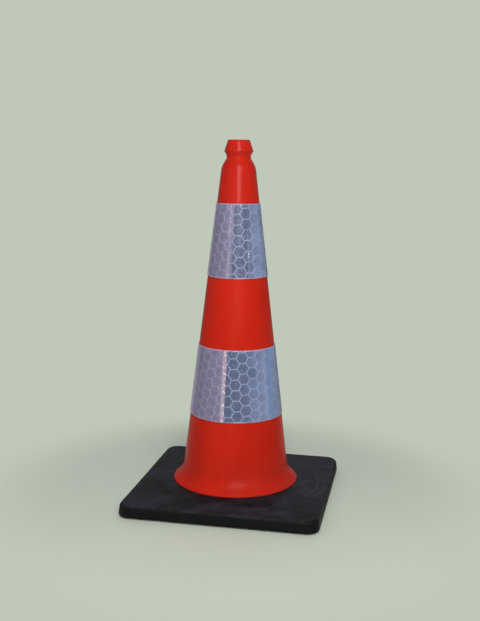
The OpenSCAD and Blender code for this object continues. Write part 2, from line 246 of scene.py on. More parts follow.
class Finish:
    """Material, or the world, built up node by node."""

    def __init__(self, owner):
        self.owner = owner
        owner.use_nodes = True
        self.tree = owner.node_tree
        self.tree.nodes.clear()

    def node(self, kind, settings=None, inputs=None, output=0):
        """Adds a node: its settings come first, then the values or links of its sockets."""
        node = self.tree.nodes.new(kind)
        for name, setting in (settings or {}).items():
            if name == "stops":
                self.set_stops(node.color_ramp, setting)
            else:
                setattr(node, name, setting)
        for key, value in (inputs or {}).items():
            socket = self.find(node.inputs, key)
            if isinstance(value, Value):
                self.tree.links.new(value.socket, socket)
            else:
                socket.default_value = value
        if not node.outputs:
            return None
        return Value(self, self.find(node.outputs, output))

    @staticmethod
    def find(sockets, key):
        """Socket by its number, its identifier or its name."""
        if isinstance(key, int):
            return sockets[key]
        for socket in sockets:
            if key in (socket.identifier, socket.name) and socket.enabled:
                return socket
        raise KeyError(f"no socket {key!r}")

    @staticmethod
    def set_stops(ramp, stops):
        """Gives a ramp its stops, from (place, grey) pairs."""
        while len(ramp.elements) < len(stops):
            ramp.elements.new(1.0)
        for element, (place, grey) in zip(ramp.elements, stops):
            element.position = place
            element.color = (grey, grey, grey, 1.0)

    # Patterns

    def place(self, scale=(1.0, 1.0, 1.0)):
        """Object coordinates, stretched along each axis."""
        here = self.node("ShaderNodeTexCoord", output="Object")
        return self.node("ShaderNodeMapping", inputs={"Vector": here, "Scale": scale})

    def grain(self, where, scale, detail=3.0, roughness=0.55, distortion=0.0):
        """Noise from 0 to 1, at coordinates or at those of the object, stretched."""
        if isinstance(where, tuple):
            where = self.place(where)
        return self.node("ShaderNodeTexNoise", inputs={
            "Vector": where, "Scale": scale, "Detail": detail,
            "Roughness": roughness, "Distortion": distortion}, output="Fac")

    def ramp(self, value, low, high, start=0.0, end=1.0):
        """Smooth step from start to end as a value goes from low to high."""
        return self.node("ShaderNodeMapRange", {"interpolation_type": "SMOOTHSTEP"},
                         {"Value": value, "From Min": low, "From Max": high,
                          "To Min": start, "To Max": end})

    def fade(self, value, low, high):
        """Smooth step down from 1 to 0."""
        return self.ramp(value, low, high, 1.0, 0.0)

    def flecks(self, where, scale):
        """Distance to the nearest of many scattered points."""
        return self.node("ShaderNodeTexVoronoi", inputs={"Vector": where, "Scale": scale}, output="Distance")

    def mix(self, factor, first, second):
        """Blend of two colours."""
        def paint(tint):
            return tint if isinstance(tint, Value) else (*tint[:3], 1.0)
        return self.node("ShaderNodeMix", {"data_type": "RGBA"},
                         {"Factor_Float": factor, "A_Color": paint(first), "B_Color": paint(second)},
                         "Result_Color")

    def attribute(self, name):
        """Number that the mesh carries on its faces."""
        return self.node("ShaderNodeAttribute", {"attribute_name": name}, output="Fac")

    def axes(self):
        """Object coordinates as three numbers."""
        here = self.node("ShaderNodeTexCoord", output="Object")
        parts = self.node("ShaderNodeSeparateXYZ", inputs={"Vector": here})
        return [Value(self, socket) for socket in parts.socket.node.outputs]

    def reach(self):
        """Distance from the axis."""
        x, y = self.axes()[:2]
        return (x * x + y * y) ** 0.5

    def bump(self, height, strength, distance):
        """Normal of a surface with this relief."""
        return self.node("ShaderNodeBump", inputs={
            "Height": height, "Strength": strength, "Distance": distance}, output="Normal")

    def surface(self, **inputs):
        """Closes the material with one Principled shader."""
        sockets = {name.replace("_", " "): value for name, value in inputs.items()}
        shader = self.node("ShaderNodeBsdfPrincipled", inputs=sockets)
        self.node("ShaderNodeOutputMaterial", inputs={"Surface": shader})
        return self.owner


def new_finish(name):
    """Finish on a new material."""
    return Finish(bpy.data.materials.new(name))


# ---- Mesh helpers ----

SHARP_DEGREES = 40


def finished_mesh(name, bm):
    """Mesh of a bmesh, which is freed."""
    mesh = bpy.data.meshes.new(name)
    bm.to_mesh(mesh)
    bm.free()
    return mesh


def add_object(name, data):
    """New object in the scene."""
    item = bpy.data.objects.new(name, data)
    bpy.context.scene.collection.objects.link(item)
    return item


def place_piece(name, bm, material, body, sharp_degrees=SHARP_DEGREES):
    """Makes a bmesh a smooth shaded piece with one finish that rides on a body."""
    bmesh.ops.recalc_face_normals(bm, faces=bm.faces[:])
    mesh = finished_mesh(name, bm)
    mesh.shade_smooth()
    mesh.set_sharp_from_angle(angle=radians(sharp_degrees))
    mesh.materials.append(material)
    piece = add_object(name, mesh)
    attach(piece, body)
    return piece


def bevel(bm, geom, reach, steps, affect="EDGES"):
    """Rounds edges or corners in steps."""
    bmesh.ops.bevel(bm, geom=geom, affect=affect, offset=reach, offset_type="OFFSET",
                    segments=steps, profile=0.5, material=-1)


def rounding_reach(before, corner, after, radius):
    """How far along its edges a corner's rounding runs; never over half of an edge."""
    first = before - corner
    second = after - corner
    half = first.angle(second) / 2
    share = 0.49
    return min(radius / tan(half), share * first.length, share * second.length)


def fill_outline(bm, corners):
    """Face in the XZ plane with each corner (x, z, radius, steps) rounded as it says."""
    points = [Vector((x, 0, z)) for x, z, radius, steps in corners]
    verts = [bm.verts.new(point) for point in points]
    bm.faces.new(verts)
    for index, (x, z, radius, steps) in enumerate(corners):
        if radius == 0:
            continue
        after = points[index + 1 - len(points)]
        reach = rounding_reach(points[index - 1], points[index], after, radius)
        bevel(bm, [verts[index]], reach, steps, "VERTICES")
    return verts


def spin(bm, turn, steps, as_copies):
    """Sweeps or copies all there is round the axis."""
    bmesh.ops.spin(bm, geom=bm.verts[:] + bm.edges[:] + bm.faces[:], axis=UP, angle=turn, steps=steps,
                   use_merge=not as_copies, use_duplicate=as_copies)


def revolve(bm, steps):
    """Spins the outline's edges once round the axis, and drops the face that held them."""
    bmesh.ops.delete(bm, geom=bm.faces[:], context="FACES_ONLY")
    spin(bm, FULL_TURN, steps, as_copies=False)


def cut(bm, point, normal, **clear):
    """Cuts the whole mesh along a plane."""
    bmesh.ops.bisect_plane(bm, geom=bm.verts[:] + bm.edges[:] + bm.faces[:], dist=TINY / 4,
                           plane_co=point, plane_no=normal, **clear)


def turn_verts(bm, verts, turn):
    """Turns vertices round the axis."""
    bmesh.ops.rotate(bm, verts=verts, matrix=Matrix.Rotation(turn, 3, "Z"))


def repeat_round(bm, copies, offset=0.0):
    """Turns all there is by an offset and sets copies round the axis."""
    turn_verts(bm, bm.verts[:], offset)
    spin(bm, FULL_TURN * (copies - 1) / copies, copies - 1, as_copies=True)


def add_block(bm, low, high):
    """Box between two corners; returns its vertices."""
    low, high = Vector(low), Vector(high)
    size = high - low
    matrix = Matrix.Translation((low + high) / 2) @ Matrix.Diagonal((*size, 1))
    return bmesh.ops.create_cube(bm, size=1, matrix=matrix)["verts"]


def edges_where(bm, test):
    """Edges both of whose ends pass a test."""
    return [edge for edge in bm.edges if all(test(vert.co) for vert in edge.verts)]


def upright_edges(bm):
    """Edges that join two levels."""
    return [edge for edge in bm.edges if edge.verts[0].co.z != edge.verts[1].co.z]


# ---- Cone ----

SHELL_STEPS = 192
WALL_RINGS = 10


class ConeForm:
    """Levels and corners of the cone, worked out from its settings."""

    def __init__(self, scene):
        cone = scene.traffic_cone
        base = scene.traffic_base
        self.cone = cone
        slope = tan(cone.half_angle)
        level = tan(cone.lip_slope)
        self.slope = slope
        self.knob_z = cone.total_h - cone.knob_cap_h
        self.neck_top_z = self.knob_z - cone.knob_under_h
        self.neck_z = self.neck_top_z - cone.neck_h
        self.shoulder_z = self.neck_z - cone.shoulder_h
        self.apex_z = self.shoulder_z + cone.shoulder_r / slope
        self.crown_z = base.edge_h + base.crown_h
        self.ledge_z = self.crown_z - base.ledge_t
        self.lip_z = self.crown_z + cone.lip_t
        flare_x = (self.apex_z - self.lip_z - cone.lip_r * level) / (1 / slope - level)
        flare_z = self.lip_z + (cone.lip_r - flare_x) * level
        turn = (pi / 2 - cone.lip_slope - cone.half_angle) / 2
        lean = turn + cone.half_angle
        reach = cone.flare_round / cos(turn)
        self.flare_centre = Vector((flare_x + reach * cos(lean), flare_z + reach * sin(lean)))
        inner_apex_z = self.apex_z - cone.wall / sin(cone.half_angle)
        self.inner_shoulder_x = cone.shoulder_r - cone.wall
        self.inner_shoulder_z = inner_apex_z - self.inner_shoulder_x / slope
        self.hook_x = base.hole_r + base.ring_t + cone.hook_space

    def wall_radius(self, z):
        """Radius of the straight wall's outside at a height."""
        return (self.apex_z - z) * self.slope

    def flare_under(self, x):
        """Height of the flare's underside at a radius."""
        cone = self.cone
        radius = cone.flare_round + cone.wall
        if x > self.flare_centre.x - radius * sin(cone.lip_slope):
            inner_lip_z = self.lip_z - cone.wall / cos(cone.lip_slope)
            return inner_lip_z + (cone.lip_r - x) * tan(cone.lip_slope)
        return self.flare_centre.y - sqrt(radius ** 2 - (self.flare_centre.x - x) ** 2)

    def flare_arc(self, radius, start, end, steps=16):
        """Corners along the flare's curve, from one angle round its centre to another."""
        turns = [start + (end - start) * index / steps for index in range(steps + 1)]
        return [(self.flare_centre.x + radius * cos(turn),
                 self.flare_centre.y + radius * sin(turn), 0, 0) for turn in turns]

    def shell_corners(self):
        """Half section: down the outside, across the lip and up the inside."""
        cone = self.cone
        small = 4
        large = 14
        land_x = cone.lip_r - cone.lip_land
        run = cone.shoulder_r - cone.neck_r
        bore_end_z = self.inner_shoulder_z + (self.inner_shoulder_x - cone.bore_r) * cone.shoulder_h / run
        inner_r = cone.flare_round + cone.wall
        wall_end = pi + cone.half_angle
        lip_end = 1.5 * pi - cone.lip_slope
        return [
            (cone.knob_top_r, cone.total_h, cone.edge_round, small),
            (cone.knob_r, self.knob_z, cone.knob_round, small),
            (cone.neck_r, self.neck_top_z, cone.edge_round, small),
            (cone.neck_r, self.neck_z, cone.neck_round, small),
            (cone.shoulder_r, self.shoulder_z, cone.shoulder_round, large),
            *self.flare_arc(cone.flare_round, wall_end, lip_end),
            (cone.lip_r, self.lip_z, cone.lip_round, small),
            (cone.lip_r, self.crown_z, cone.lip_foot_round, small),
            (land_x, self.crown_z, 0, 0),
            (land_x, self.flare_under(land_x), 0, 0),
            *self.flare_arc(inner_r, lip_end, wall_end),
            (self.inner_shoulder_x, self.inner_shoulder_z, cone.shoulder_round - cone.wall, large),
            (cone.bore_r, bore_end_z, 0, 0),
            (cone.bore_r, cone.total_h, cone.bore_round, small),
        ]

    def hook_corners(self):
        """Outline of one hook: a leg down through the base and a barb outwards."""
        cone = self.cone
        inner = self.hook_x
        outer = inner + cone.hook_t
        tip = outer + cone.hook_reach
        barb_z = self.ledge_z - cone.hook_gap
        sunk = cone.wall / 3
        rounded = (0.0006, 3)
        return [
            (inner, self.flare_under(inner) + sunk, 0, 0),
            (inner, barb_z - cone.hook_h, *rounded),
            (outer, barb_z - cone.hook_h, *rounded),
            (tip, barb_z - cone.hook_h / 3, *rounded),
            (tip, barb_z, 0.0004, 3),
            (outer, barb_z, *rounded),
            (outer, self.flare_under(outer) + sunk, 0, 0),
        ]


def red_plastic(cone, form):
    """Satin moulded plastic: upright clouds of deeper red that are partly uneven tone and partly painted
    shade and sheen, fine grain, faint drips and a little road dust.
    """
    finish = new_finish("cone_red_plastic")
    z = finish.axes()[2]
    here = finish.place()
    clouds = finish.grain((1.0, 1.0, 0.3), 14.0, 4.0, 0.6)
    drips = finish.grain((60.0, 60.0, 3.0), 1.0, 4.0, 0.6, 0.4)
    specks = finish.grain(here, 900.0, 2.0, 0.5)
    low = finish.fade(z, form.lip_z, form.lip_z + 0.05)
    # Painted shade and sheen: upright bands of deeper red, laid over the plastic's uneven tone.
    shade = finish.ramp(clouds, 0.35, 0.68)
    paint = finish.mix(shade * 0.6, cone.red, cone.deep_red)
    dusty = finish.ramp(drips, 0.5, 0.8) * 0.03 + low * finish.ramp(clouds, 0.4, 0.7) * 0.03
    scuffs = finish.grain((25.0, 25.0, 420.0), 1.0, 5.0, 0.65, 0.8)
    scratched = finish.ramp(scuffs, 0.70, 0.78) * 0.25
    paint = finish.mix(dusty + scratched * 0.2, paint, cone.dust)
    rough = 0.30 + shade * 0.08 + scratched * 0.3 + dusty * 0.8
    relief = specks * 0.15 + finish.grain(here, 130.0, 3.0) * 0.3 + clouds * 1.5
    polished = finish.ramp(z, form.neck_z - 0.12, form.neck_z - 0.05) * 0.12 + 0.02
    return finish.surface(Base_Color=paint, Roughness=rough, IOR=1.48, Specular_IOR_Level=0.06,
                          Coat_Weight=polished, Coat_Roughness=0.13,
                          Normal=finish.bump(relief, 0.25, 0.0004))


class TRAFFIC_CONE_OT_shell(bpy.types.Operator):
    """Revolve the moulded shell from its half section"""
    bl_idname = "traffic_cone.shell"
    bl_label = "Cone Shell"

    def execute(self, context):
        scene = context.scene
        form = ConeForm(scene)
        bm = bmesh.new()
        fill_outline(bm, form.shell_corners())
        revolve(bm, SHELL_STEPS)
        top = form.shoulder_z - 0.015
        bottom = form.flare_centre.y + 0.004
        for index in range(WALL_RINGS + 1):
            cut(bm, (0, 0, bottom + (top - bottom) * index / WALL_RINGS), UP)
        material = red_plastic(scene.traffic_cone, form)
        shell = place_piece("cone_shell", bm, material, "cone")
        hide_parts("cone_body")
        return {"FINISHED"}


class TRAFFIC_CONE_OT_hooks(bpy.types.Operator):
    """Extrude the hooks under the skirt and set them round the axis"""
    bl_idname = "traffic_cone.hooks"
    bl_label = "Hooks"

    def execute(self, context):
        scene = context.scene
        cone = scene.traffic_cone
        form = ConeForm(scene)
        bm = bmesh.new()
        fill_outline(bm, form.hook_corners())
        bmesh.ops.translate(bm, verts=bm.verts[:], vec=(0, -cone.hook_w / 2, 0))
        swept = bmesh.ops.extrude_face_region(bm, geom=bm.faces[:])["geom"]
        ends = [item for item in swept if isinstance(item, bmesh.types.BMVert)]
        bmesh.ops.translate(bm, verts=ends, vec=(0, cone.hook_w, 0))
        repeat_round(bm, cone.hook_count, pi / cone.hook_count)
        material = bpy.data.objects["cone_shell"].data.materials[0]
        place_piece("rim_hooks", bm, material, "cone")
        return {"FINISHED"}


# ---- Base ----

CORNER_STEPS = 12
SIDE_STEPS = 24


def rubber_slab(base):
    """Square slab, rounded at its corners and edges, without its flat top and bottom faces."""
    bm = bmesh.new()
    half = base.width / 2
    add_block(bm, (-half, -half, base.foot_h), (half, half, base.edge_h))
    bevel(bm, upright_edges(bm), base.corner_r, CORNER_STEPS)
    long_edges = [edge for edge in bm.edges if edge.calc_length() > base.width / 2]
    bmesh.ops.subdivide_edges(bm, edges=long_edges, cuts=SIDE_STEPS - 1)
    top = [vert for vert in bm.verts if vert.co.z > base.edge_h - TINY]
    lean = 1 - base.draft / half
    bmesh.ops.scale(bm, verts=top, vec=(lean, lean, 1))
    bevel(bm, edges_where(bm, lambda at: at.z > base.edge_h - TINY), base.edge_r, 6)
    bevel(bm, edges_where(bm, lambda at: at.z < base.foot_h + TINY), base.chamfer, 2)
    flats = [face for face in bm.faces if len(face.verts) > 4 * SIDE_STEPS]
    bmesh.ops.delete(bm, geom=flats, context="FACES_ONLY")
    return bm


def crown_corners(base, form):
    """Half section from the crown's rim over the centring ring and down the hole."""
    ring_r = base.hole_r + base.ring_t
    clearance = 0.0004
    ring_top_z = form.flare_under(ring_r) - clearance
    rounded = (0.0006, 3)
    return [
        (base.crown_r, base.edge_h, 0, 0),
        (base.crown_r - base.crown_slope_w, form.crown_z, 0.05, 5),
        (ring_r, form.crown_z, 0.0008, 3),
        (ring_r, ring_top_z, *rounded),
        (base.hole_r, ring_top_z, *rounded),
        (base.hole_r, base.foot_h + base.hole_lead, *rounded),
        (base.hole_r + base.hole_lead, base.foot_h, 0, 0),
        (base.crown_r, base.foot_h, 0, 0),
    ]


def join_crown(slab, base, form):
    """Adds the crown, ring and hole to the slab and joins their rims with quads."""
    crown = bmesh.new()
    verts = fill_outline(crown, crown_corners(base, form))
    bmesh.ops.delete(crown, geom=[verts[-1]], context="VERTS")
    revolve(crown, 4 * (CORNER_STEPS + SIDE_STEPS))
    mesh = finished_mesh("crown", crown)
    slab.from_mesh(mesh)
    bpy.data.meshes.remove(mesh)
    for level in (base.edge_h, base.foot_h):
        rim = [vert for vert in slab.verts if abs(vert.co.z - level) < TINY
               and any(len(edge.link_faces) == 1 for edge in vert.link_edges)]
        rim.sort(key=lambda vert: (atan2(vert.co.y, vert.co.x) + TINY) % FULL_TURN)
        inner = [vert for vert in rim if vert.co.xy.length < base.crown_r + TINY]
        outer = [vert for vert in rim if vert.co.xy.length > base.crown_r + TINY]
        for index in range(len(inner)):
            slab.faces.new((outer[index - 1], outer[index], inner[index], inner[index - 1]))


def let_edges_wander(bm, base):
    """Pulls the rim of the slab in and out of true, as cast rubber lies; never past its box."""
    sway_scale = 14
    ripple_scale = 45
    corner_power = 8
    for vert in bm.verts:
        reach = max(abs(vert.co.x), abs(vert.co.y))
        if reach < base.crown_r or vert.co.z < base.foot_h + base.chamfer / 2:
            continue
        sway = 0.5 + 0.5 * noise.noise(vert.co * sway_scale)
        ripple = 0.5 + 0.5 * noise.noise(vert.co * ripple_scale + UP)
        pull = base.sag * (0.75 * sway + 0.25 * ripple)
        vert.co.x -= copysign(pull, vert.co.x) * (abs(vert.co.x) / reach) ** corner_power
        vert.co.y -= copysign(pull, vert.co.y) * (abs(vert.co.y) / reach) ** corner_power
        vert.co.z -= 0.8 * pull


def hook_slot_cutter(cone, form):
    """Blocks that open a slot for each leg and a pocket for each barb."""
    bm = bmesh.new()
    inner = form.hook_x - cone.hook_gap
    half = cone.hook_w / 2 + cone.hook_gap
    slot_x = inner + cone.hook_t + 2 * cone.hook_gap
    pocket_x = slot_x + cone.hook_reach + cone.hook_gap
    past = 0.01
    overlap = 0.001
    add_block(bm, (inner, -half, form.ledge_z - overlap), (slot_x, half, form.crown_z + past))
    add_block(bm, (inner, -half, -past), (pocket_x, half, form.ledge_z))
    repeat_round(bm, cone.hook_count, pi / cone.hook_count)
    return finished_mesh("slot_cutter", bm)


def carve(piece, cutter_mesh):
    """Cuts the cutter's blocks out of a piece for good."""
    cutter = add_object("slot_cutter", cutter_mesh)
    boolean = piece.modifiers.new("slots", "BOOLEAN")
    boolean.operation = "DIFFERENCE"
    boolean.solver = "EXACT"
    boolean.use_self = True
    boolean.object = cutter
    depsgraph = bpy.context.evaluated_depsgraph_get()
    carved = bpy.data.meshes.new_from_object(piece.evaluated_get(depsgraph))
    piece.modifiers.clear()
    solid = piece.data
    piece.data = carved
    carved.name = solid.name
    bpy.data.meshes.remove(solid)
    bpy.data.objects.remove(cutter)
    bpy.data.meshes.remove(cutter_mesh)


def black_rubber(base):
    """Old recycled rubber: grey bloom in swirls, dust round the crown and rubbed edges."""
    finish = new_finish("base_rubber")
    x, y, z = finish.axes()
    radius = finish.reach()
    here = finish.place()
    swirl = finish.grain(here, 9.0, 5.0, 0.6, 1.6)
    fine = finish.grain(here, 60.0, 5.0, 0.65)
    crumb = finish.grain(here, 700.0, 3.0, 0.6)
    round_about = finish.node("ShaderNodeCombineXYZ", inputs={
        "X": x / radius * 1.2, "Y": y / radius * 1.2, "Z": radius * 260.0})
    swept = finish.grain(round_about, 1.0, 4.0, 0.6, 0.3)
    flat = finish.ramp(z, base.edge_h - 0.003, base.edge_h - 0.0008)
    edge_reach = x.math("MAXIMUM", abs(x), abs(y))
    rim = finish.ramp(edge_reach, base.width / 2 - 0.008, base.width / 2 - 0.002)
    crown_rim = (finish.ramp(radius, base.crown_r - base.crown_slope_w, base.crown_r - 0.006)
                 * finish.fade(radius, base.crown_r - 0.004, base.crown_r + 0.006))
    right_side = finish.ramp((x + y * 0.5) / radius, 0.3, 1.0)
    bloom = (finish.ramp(swirl, 0.38, 0.66) * 0.6 + finish.ramp(swept, 0.45, 0.75) * 0.4
             + finish.ramp(fine, 0.45, 0.7) * 0.25 + right_side * 0.4)
    paint = finish.mix(bloom * flat, base.black, base.bloom)
    stains = finish.ramp(finish.grain((1.0, 1.0, 0.2), 16.0, 6.0, 0.7, 0.6), 0.60, 0.78)
    arcs = crown_rim * right_side * finish.ramp(swept, 0.46, 0.72)
    dusty = (arcs * 0.16 + crown_rim * finish.ramp(fine, 0.5, 0.8) * 0.03 + stains * 0.10
             + rim * finish.ramp(fine, 0.45, 0.75) * 0.08) * flat
    paint = finish.mix(dusty, paint, base.dust)
    rough = 0.62 + bloom * 0.12 - rim * 0.08 + dusty * 0.2
    relief = crumb * 0.6 + fine * 1.2 + swirl * 2.0
    return finish.surface(Base_Color=paint, Roughness=rough, IOR=1.5, Specular_IOR_Level=0.13,
                          Normal=finish.bump(relief, 0.5, 0.0008))


class TRAFFIC_CONE_OT_base(bpy.types.Operator):
    """Build the rubber base, join its crown and carve the hook slots"""
    bl_idname = "traffic_cone.base"
    bl_label = "Base"

    def execute(self, context):
        scene = context.scene
        base = scene.traffic_base
        form = ConeForm(scene)
        slab = rubber_slab(base)
        join_crown(slab, base, form)
        let_edges_wander(slab, base)
        piece = place_piece("rubber_base", slab, black_rubber(base), "cone")
        carve(piece, hook_slot_cutter(scene.traffic_cone, form))
        piece.data.set_sharp_from_angle(angle=radians(SHARP_DEGREES))
        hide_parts("base_plate")
        return {"FINISHED"}


class TRAFFIC_CONE_OT_feet(bpy.types.Operator):
    """Set the anti-slip feet under the base"""
    bl_idname = "traffic_cone.feet"
    bl_label = "Feet"

    def execute(self, context):
        base = context.scene.traffic_base
        bm = bmesh.new()
        half_w = base.foot_w / 2
        half_l = base.foot_l / 2
        side_at = base.width / 2 - base.foot_inset - half_w
        corner_at = side_at - base.corner_r / 2
        sunk = 0.001
        ground_round = 0.0006
        top = base.foot_h + sunk
        add_block(bm, (side_at - half_w, -half_l, 0), (side_at + half_w, half_l, top))
        corner = add_block(bm, (-half_w, -half_l, 0), (half_w, half_l, top))
        turn_verts(bm, corner, pi / 4)
        bmesh.ops.translate(bm, verts=corner, vec=(corner_at, corner_at, 0))
        bevel(bm, upright_edges(bm), base.foot_w / 4, 5)
        bevel(bm, edges_where(bm, lambda at: at.z < TINY), ground_round, 2)
        repeat_round(bm, 4)
        material = bpy.data.objects["rubber_base"].data.materials[0]
        place_piece("rubber_feet", bm, material, "cone")
        return {"FINISHED"}


# ---- Collars ----

SEAM_MARK = 1.0
EDGE_MARK = 0.7

# Turns from the seam, in radians, of the painted blue line, the painted glint line and the painted pale
# glare on the film.
STREAK_TURN = 1.24
GLINT_TURN = 0.745
GLARE_TURN = -1.08

# Each honeycomb's lie on its sheet: turn from the panel's first edge in degrees, two shifts in mm.
HONEYCOMBS = {
    "upper_front": (62.3, 0.0, 4.8),
    "upper_rear": (57.3, -9.3, -6.9),
    "lower_front": (62.3, -7.1, 3.9),
    "lower_rear": (83.3, -8.9, 1.1),
}


class Panel:
    """One half-turn panel of lens film and the flat sheet that it was cut from."""

    def __init__(self, low, high, start, lie, form):
        turn, aside, upward = lie
        self.low = low
        self.high = high
        self.start = start
        self.upright = start + radians(turn)
        self.shift = Vector((aside, upward, 0)) / 1000
        self.form = form
        self.sine = sin(form.cone.half_angle)
        self.cosine = cos(form.cone.half_angle)
        self.slant_high = (form.apex_z - high) / self.cosine
        self.slant_low = (form.apex_z - low) / self.cosine
        self.turn_start = (start - self.upright) * self.sine
        self.turn_end = self.turn_start + pi * self.sine

    def holds(self, centre, margin):
        """Whether a cell at this place on the sheet reaches into the panel."""
        slant = hypot(centre.x, centre.y)
        turn = atan2(centre.x, centre.y)
        spare = margin / slant
        return (self.slant_high - margin < slant < self.slant_low + margin
                and self.turn_start - spare < turn < self.turn_end + spare)

    def wrapped(self, at, offset):
        """Place on the cone of a point of the sheet, an offset off the wall."""
        slant = hypot(at.x, at.y)
        azimuth = self.upright + atan2(at.x, at.y) / self.sine
        radius = slant * self.sine + offset * self.cosine
        return Vector((radius * cos(azimuth), radius * sin(azimuth),
                       self.form.apex_z - slant * self.cosine + offset * self.sine))

    def press(self, vert, offset):
        """Moves a vertex level until it is an offset off the wall."""
        flat = Vector((vert.co.x, vert.co.y))
        flat *= (self.form.wall_radius(vert.co.z) + offset / self.cosine) / flat.length
        vert.co.x, vert.co.y = flat


def lens_cell(collar):
    """One hexagonal cell of the flat sheet, with half of the weld round it."""
    bm = bmesh.new()
    radius = collar.cell_pitch / sqrt(3)
    bmesh.ops.create_circle(bm, cap_ends=True, radius=radius, segments=6,
                            matrix=Matrix.Rotation(pi / 6, 4, "Z"))
    bmesh.ops.subdivide_edges(bm, edges=bm.edges[:], cuts=2)
    weld = bm.faces.layers.float.new("weld")
    bm.faces.ensure_lookup_table()
    middle = bm.faces[0]
    rings = [
        (collar.weld_w / 2, 0.0, 1.0),
        (collar.step_w, collar.cell_h, 0.15),
        (0.0014, 0.0, 0.0),
        (0.0016, 0.0, 0.0),
        (0.0016, 0.0, 0.0),
    ]
    for width, rise, is_weld in rings:
        ring = bmesh.ops.inset_individual(bm, faces=[middle], thickness=width, depth=rise,
                                          use_even_offset=True)["faces"]
        for face in ring:
            face[weld] = is_weld
    bmesh.ops.poke(bm, faces=[middle])
    return finished_mesh("lens_cell", bm)


def lay_out_cells(bm, panel, collar):
    """Lays copies of the cell on the flat sheet wherever they reach into the panel."""
    cell = lens_cell(collar)
    tint = bm.faces.layers.float.new("tint")
    pitch = collar.cell_pitch
    column_w = pitch * cos(pi / 6)
    reach = panel.slant_low
    columns = range(int(reach * sin(panel.turn_start) // column_w) - 1,
                    ceil(reach * sin(panel.turn_end) / column_w) + 2)
    rows = range(int(panel.slant_high * cos(panel.turn_end) // pitch) - 2, ceil(reach / pitch) + 1)
    for column in columns:
        for row in rows:
            centre = Vector((column * column_w, (row + column % 2 / 2) * pitch, 0)) + panel.shift
            if not panel.holds(centre, pitch):
                continue
            verts_before = len(bm.verts)
            faces_before = len(bm.faces)
            bm.from_mesh(cell)
            bmesh.ops.translate(bm, verts=bm.verts[verts_before:], vec=centre)
            shade = noise.cell(Vector((column, row, panel.start)) + Vector((0.5, 0.5, 0.5)))
            for face in bm.faces[faces_before:]:
                face[tint] = shade
    bpy.data.meshes.remove(cell)
    bmesh.ops.remove_doubles(bm, verts=bm.verts[:], dist=TINY)


def lens_sheet(panel, collar):
    """Honeycomb of one panel, wrapped round the cone, trimmed and welded at its edges."""
    bm = bmesh.new()
    seam = bm.faces.layers.float.new("seam")
    lay_out_cells(bm, panel, collar)
    for vert in bm.verts:
        vert.co = panel.wrapped(vert.co, collar.film_out + vert.co.z)
    along = Vector((cos(panel.start), sin(panel.start), 0))
    across = Vector((-along.y, along.x, 0))
    top = panel.high - collar.edge_weld_w
    bottom = panel.low + collar.edge_weld_w
    step = collar.step_w
    cut(bm, UP * panel.high, UP, clear_outer=True)
    cut(bm, UP * panel.low, UP, clear_inner=True)
    cut(bm, Vector(), across, clear_inner=True)
    for level in (top, top - step, bottom, bottom + step):
        cut(bm, UP * level, UP)
    for distance in (collar.seam_w, collar.seam_w + step):
        cut(bm, across * distance, across)
    seam_out = collar.film_out + collar.cell_h + collar.seam_rise
    for vert in bm.verts:
        beside_seam = across.dot(vert.co) < collar.seam_w + TINY
        if beside_seam and along.dot(vert.co) > 0:
            panel.press(vert, seam_out)
        elif beside_seam or not bottom + TINY < vert.co.z < top - TINY:
            panel.press(vert, collar.film_out)
    for face in bm.faces:
        middle = face.calc_center_median()
        at_start = along.dot(middle) > 0 and across.dot(middle) < collar.seam_w
        at_edge = not bottom < middle.z < top
        face[seam] = SEAM_MARK if at_start else EDGE_MARK if at_edge else 0.0
    return bm


